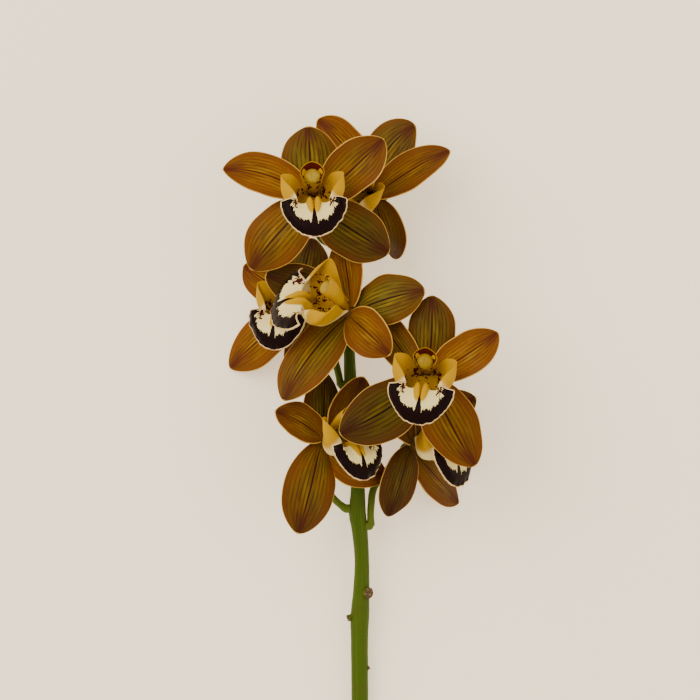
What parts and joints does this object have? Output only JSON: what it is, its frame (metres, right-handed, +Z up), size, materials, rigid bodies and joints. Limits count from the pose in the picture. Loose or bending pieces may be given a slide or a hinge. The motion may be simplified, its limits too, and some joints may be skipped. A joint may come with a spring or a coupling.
{
  "type": "cymbidium orchid stem",
  "caption": "Cut cymbidium orchid stem lying on its back: a green stem whose side stalks carry open flowers of olive and amber tepals with a dark-edged cream lip and a yellow column",
  "frame": {"origin": "on the surface it lies on, under the middle of the whole spray", "axes": "+Y from the cut end to the top of the spray, +Z up out of the flowers' faces, +X to the right as seen from above"},
  "size_m": [0.1479, 0.3963, 0.0981],
  "materials": {
    "stem": "fresh green stem, slightly waxy",
    "pedicel": "fresh light green flower stalk",
    "sepal": "olive brown sepal with fine maroon veins and a pale rim",
    "petal": "amber brown petal with fine maroon veins and a pale rim",
    "lip": "cream and yellow lip with a maroon crescent",
    "column": "yellow column with a pale cap and maroon specks"
  },
  "bodies": {
    "root": {"flower_1_pedicel": "pedicel", "flower_1_dorsal_sepal": "sepal", "flower_1_left_lateral_sepal": "sepal", "flower_1_right_lateral_sepal": "sepal", "flower_1_left_petal": "petal", "flower_1_right_petal": "petal", "flower_1_lip": "lip", "flower_1_column": "column", "flower_2_pedicel": "pedicel", "flower_2_dorsal_sepal": "sepal", "flower_2_left_lateral_sepal": "sepal", "flower_2_right_lateral_sepal": "sepal", "flower_2_left_petal": "petal", "flower_2_right_petal": "petal", "flower_2_lip": "lip", "flower_2_column": "column", "flower_3_pedicel": "pedicel", "flower_3_dorsal_sepal": "sepal", "flower_3_left_lateral_sepal": "sepal", "flower_3_right_lateral_sepal": "sepal", "flower_3_left_petal": "petal", "flower_3_right_petal": "petal", "flower_3_lip": "lip", "flower_3_column": "column", "flower_4_pedicel": "pedicel", "flower_4_dorsal_sepal": "sepal", "flower_4_left_lateral_sepal": "sepal", "flower_4_right_lateral_sepal": "sepal", "flower_4_left_petal": "petal", "flower_4_right_petal": "petal", "flower_4_lip": "lip", "flower_4_column": "column", "flower_5_pedicel": "pedicel", "flower_5_dorsal_sepal": "sepal", "flower_5_left_lateral_sepal": "sepal", "flower_5_right_lateral_sepal": "sepal", "flower_5_left_petal": "petal", "flower_5_right_petal": "petal", "flower_5_lip": "lip", "flower_5_column": "column", "flower_6_pedicel": "pedicel", "flower_6_dorsal_sepal": "sepal", "flower_6_left_lateral_sepal": "sepal", "flower_6_right_lateral_sepal": "sepal", "flower_6_left_petal": "petal", "flower_6_right_petal": "petal", "flower_6_lip": "lip", "flower_6_column": "column", "flower_7_pedicel": "pedicel", "flower_7_dorsal_sepal": "sepal", "flower_7_left_lateral_sepal": "sepal", "flower_7_right_lateral_sepal": "sepal", "flower_7_left_petal": "petal", "flower_7_right_petal": "petal", "flower_7_lip": "lip", "flower_7_column": "column", "stem": "stem"}
  },
  "joints": []
}
